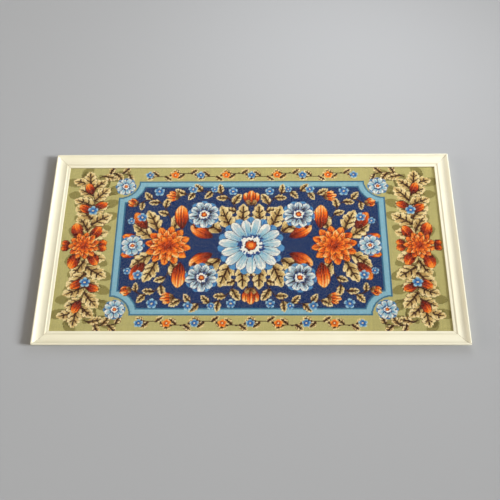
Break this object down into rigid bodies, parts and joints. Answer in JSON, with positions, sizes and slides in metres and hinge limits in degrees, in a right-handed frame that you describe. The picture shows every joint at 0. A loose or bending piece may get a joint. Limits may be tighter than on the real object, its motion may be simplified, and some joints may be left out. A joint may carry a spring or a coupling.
{
  "type": "needlepoint canvas panel with frame",
  "caption": "Wide wool needlepoint canvas held flat under the lip of a cream painted scooped wooden frame, lying face up.",
  "frame": {"origin": "middle of the frame's back face, on the surface that the panel lies on", "axes": "+Z out of the needlepoint's face, +X along the long side to the picture's right, +Y to the picture's top edge"},
  "size_m": [1.3, 0.696, 0.024],
  "materials": {
    "needlework": "wool tent stitch in many colours, matt",
    "painted_wood": "cream satin paint on wood, bare wood on the back"
  },
  "bodies": {
    "root": {"canvas": "needlework", "frame_bottom": "painted_wood", "frame_right": "painted_wood", "frame_top": "painted_wood", "frame_left": "painted_wood"}
  },
  "joints": []
}
